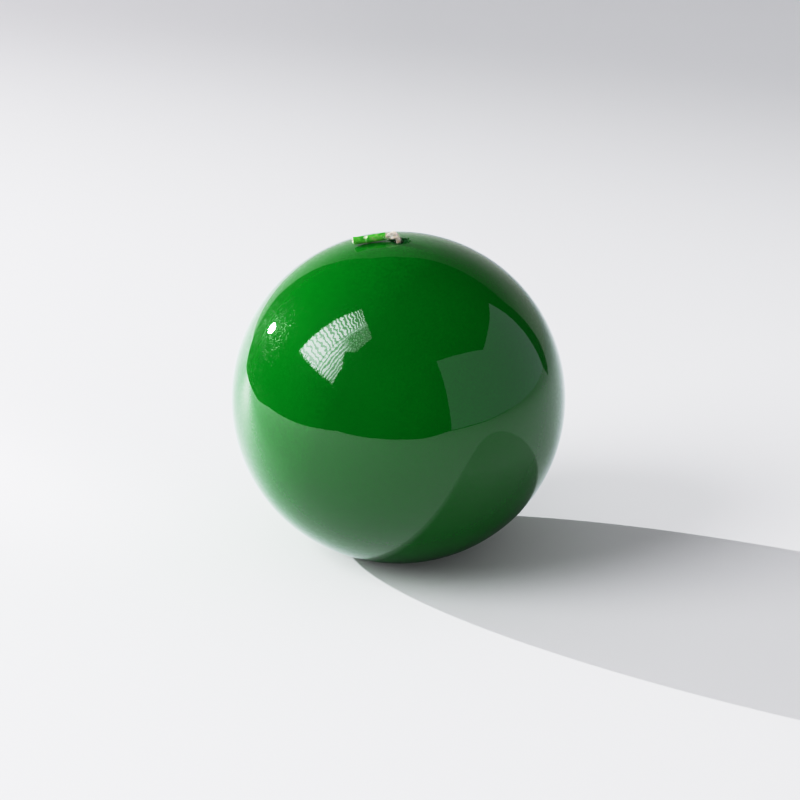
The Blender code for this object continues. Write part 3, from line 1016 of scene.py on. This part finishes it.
def build_floor():
    floor = polygon("studio_floor", [
        (-FLOOR_HALF, -FLOOR_HALF, 0.0), (FLOOR_HALF, -FLOOR_HALF, 0.0),
        (FLOOR_HALF, FLOOR_HALF, 0.0), (-FLOOR_HALF, FLOOR_HALF, 0.0)], paper_floor())
    floor.visible_glossy = False


def build_mirrored_room():
    """What the varnish mirrors and the camera never sees: a table, a backdrop, two cards, a softbox."""
    table = polygon("mirrored_table", [(x, y, TABLE_LIFT) for x, y in TABLE_OUTLINE], matt_paper())
    glossy_only(table)
    backdrop = polygon("mirrored_backdrop", [(x, BACKDROP_PLACE, z) for x, z in BACKDROP_ARCH],
                       backdrop_glow())
    glossy_only(backdrop)
    card_glow = glow("card_glow", CARD_STRENGTH, CARD_COLOUR)
    for name, (x0, y0, top0), (x1, y1, top1) in (
        ("mirrored_card_front", (0.59, -0.85, 1.0), (1.40, -0.25, 1.0)),
        ("mirrored_card_side", (1.24, -0.23, 0.91), (1.24, 0.79, 1.13)),
    ):
        card = polygon(name, [(x0, y0, 0), (x1, y1, 0), (x1, y1, top1), (x0, y0, top0)], card_glow)
        glossy_only(card)
    window = polygon("mirrored_softbox", [
        (-0.66, -0.01, 0.37), (-0.37, -0.03, 1.04), (-0.32, -0.49, 1.05), (-0.61, -0.52, 0.37),
    ], softbox_glow())
    corners = window.data.uv_layers.new(name="softbox").data
    for corner, place in zip(corners, ((0.0, 0.0), (1.0, 0.0), (1.0, 1.0), (0.0, 1.0))):
        corner.uv = place
    glossy_only(window)


def build_lamps():
    glint = add_lamp("glint", "AREA", polar(143.6, 13.5, 2.0), CENTRE, 26.0)
    glint.data.shape = "ELLIPSE"
    glint.data.size = 0.24
    glint.data.size_y = 0.14
    glint.rotation_euler.rotate_axis("Z", math.radians(GLINT_ROLL))
    glint.visible_glossy = True
    glint.visible_diffuse = False
    key = add_lamp("key", "SPOT", polar(KEY_AZIMUTH, KEY_ELEVATION, KEY_DISTANCE), KEY_TARGET, KEY_POWER)
    key.data.spot_size = math.radians(KEY_BEAM)
    key.data.spot_blend = 1.0
    key.data.shadow_soft_size = 0.006
    for name, azimuth, elevation, width, power in (
        ("softbox", -160.0, 33.0, 1.20, 24.0),
        ("front_fill", -100.0, 12.0, 0.60, 3.2),
        ("right_fill", -55.0, 8.0, 0.60, 2.6),
    ):
        lamp = add_lamp(name, "AREA", polar(azimuth, elevation, LAMP_DISTANCE), CENTRE, power)
        lamp.data.shape = "DISK"
        lamp.data.size = width


def build_world():
    """Soft light from all round, which the varnish doesn't mirror."""
    world = bpy.data.worlds.new("studio")
    world.use_nodes = True
    tree = world.node_tree
    background = tree.nodes["Background"]
    path = node(tree, "ShaderNodeLightPath")
    level = node(tree, "ShaderNodeMix", {
        0: path.outputs["Is Camera Ray"], 2: AMBIENT, 3: BACKGROUND_LEVEL})
    tree.links.new(level.outputs[0], background.inputs["Strength"])
    background.inputs["Color"].default_value = (1.0, 1.0, 1.0, 1.0)
    world.cycles_visibility.glossy = False
    bpy.context.scene.world = world


def set_film_response():
    """A camera's contrast curve: deeper shadows, and highlights that roll off to white."""
    settings = bpy.context.scene.view_settings
    settings.view_transform = "Standard"
    settings.use_curve_mapping = True
    mapping = settings.curve_mapping
    mapping.white_level = (FILM_WHITE, FILM_WHITE, FILM_WHITE)
    curve = mapping.curves[3]
    for light, film in FILM_RESPONSE[1:-1]:
        curve.points.new(light / FILM_WHITE, film)
    mapping.update()


# ---------------------------------------------------------------- camera
CAMERA_AZIMUTH = -90.0
CAMERA_ELEVATION = 22.0
CAMERA_DISTANCE = 20 * BALL_RADIUS
SENSOR_WIDTH = 36.0
# The ball's radius as a share of half the frame, and how far the frame is shifted off its centre.
BALL_SHARE = 0.4175
SHIFT_ACROSS = 0.001875
SHIFT_UP = -0.00225


def build_camera():
    data = bpy.data.cameras.new("camera")
    data.sensor_width = SENSOR_WIDTH
    edge = BALL_RADIUS / math.sqrt(CAMERA_DISTANCE**2 - BALL_RADIUS**2)
    data.lens = 0.5 * SENSOR_WIDTH * BALL_SHARE / edge
    data.shift_x = SHIFT_ACROSS
    data.shift_y = SHIFT_UP
    camera = bpy.data.objects.new("camera", data)
    camera.location = polar(CAMERA_AZIMUTH, CAMERA_ELEVATION, CAMERA_DISTANCE)
    look_at(camera, CENTRE)
    bpy.context.scene.collection.objects.link(camera)
    bpy.context.scene.camera = camera


def main():
    set_film_response()
    lacquer = green_lacquer()
    cotton = cotton_material()
    core_wax = core_wax_material()
    build_coat(lacquer)
    build_flakes("mouth_flakes_green", lacquer, 26, 4, 0.10, 0.28)
    build_flakes("mouth_flakes_pale", core_wax, 7, 9, 0.06, 0.16)
    build_core(core_wax)
    build_sustainer(tinplate_material())
    build_plait(cotton)
    build_wax_sleeve(wick_wax_material())
    for letter in "abc":
        bpy.data.objects[f"wick_strand_{letter}"].material_slots[0].material = cotton
    build_floor()
    build_mirrored_room()
    build_lamps()
    build_world()
    build_camera()


main()
